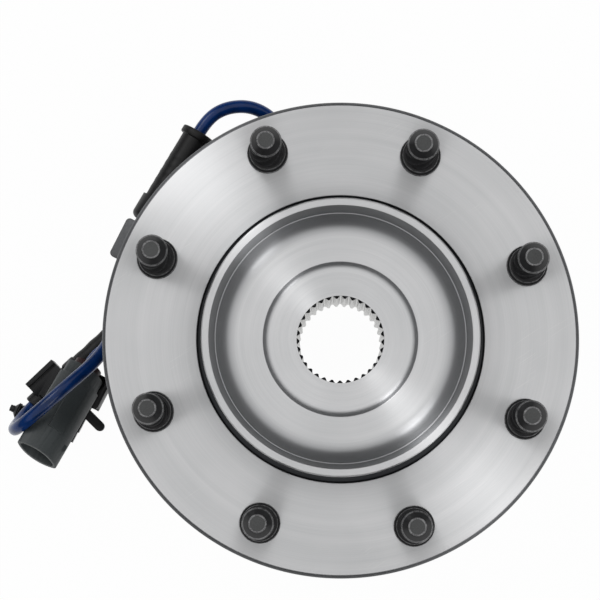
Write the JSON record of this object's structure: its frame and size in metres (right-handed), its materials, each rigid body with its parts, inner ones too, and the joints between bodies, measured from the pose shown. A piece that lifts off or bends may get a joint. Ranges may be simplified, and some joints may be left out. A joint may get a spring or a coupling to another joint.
{
  "type": "wheel hub bearing",
  "caption": "Flanged wheel hub on a sealed tapered roller bearing housing, with pressed wheel studs, splined bore, radial speed sensor and a coiled blue lead with plug.",
  "frame": {"origin": "on the bearing axis at the wheel face of the hub flange", "axes": "+Z along the bearing axis towards the wheel; the lead and its plug lie on the -X side"},
  "size_m": [0.2651, 0.2224, 0.133],
  "materials": {
    "turned_steel": "turned, bright, with fine tool marks",
    "black_steel": "black phosphate, dull",
    "ground_steel": "ground and polished",
    "plain_steel": "pressed, plain",
    "forged_steel": "forged, with turned seats",
    "black_rubber": "moulded, semi-matt",
    "black_nylon": "moulded nylon",
    "grey_steel": "pressed, dull grey",
    "blue_jacket": "extruded, glossy",
    "grey_nylon": "moulded nylon, satin",
    "red_silicone": "moulded silicone",
    "tinned_brass": "tinned"
  },
  "bodies": {
    "housing": {"bearing_housing": "forged_steel", "outboard_seal_case": "plain_steel", "inboard_seal_case": "plain_steel", "outboard_seal_lip": "black_rubber", "inboard_seal_lip": "black_rubber", "sensor_body": "black_nylon", "sensor_o_ring": "black_rubber", "sensor_screw": "black_steel", "sensor_boot": "black_rubber", "cable_bracket": "grey_steel", "bracket_screw": "black_steel", "sensor_cable": "blue_jacket", "cable_sleeve": "black_rubber", "cable_clip": "black_nylon", "mounting_clip": "black_nylon", "connector_housing": "grey_nylon", "connector_seal": "red_silicone", "connector_terminals": "tinned_brass"},
    "hub": {"wheel_hub": "turned_steel", "wheel_studs": "black_steel", "outboard_inner_ring": "ground_steel", "inboard_inner_ring": "ground_steel", "tone_ring": "plain_steel", "outboard_slinger": "plain_steel", "inboard_slinger": "plain_steel"},
    "outboard_row": {"outboard_cage": "plain_steel", "outboard_rollers": "ground_steel"},
    "inboard_row": {"inboard_cage": "plain_steel", "inboard_rollers": "ground_steel"}
  },
  "joints": [
    {"name": "hub_spin", "type": "hinge", "parent": "housing", "child": "hub", "pos_m": [0, 0, 0], "axis": [0, 0, 1], "continuous": true},
    {"name": "outboard_row_roll", "type": "hinge", "parent": "housing", "child": "outboard_row", "pos_m": [0, 0, -0.037], "axis": [0, 0, 1], "continuous": true},
    {"name": "inboard_row_roll", "type": "hinge", "parent": "housing", "child": "inboard_row", "pos_m": [0, 0, -0.065], "axis": [0, 0, 1], "continuous": true}
  ],
  "couplings": [
    {"joint": "outboard_row_roll", "follows": "hub_spin", "ratio": 0.4421},
    {"joint": "inboard_row_roll", "follows": "hub_spin", "ratio": 0.4421}
  ]
}
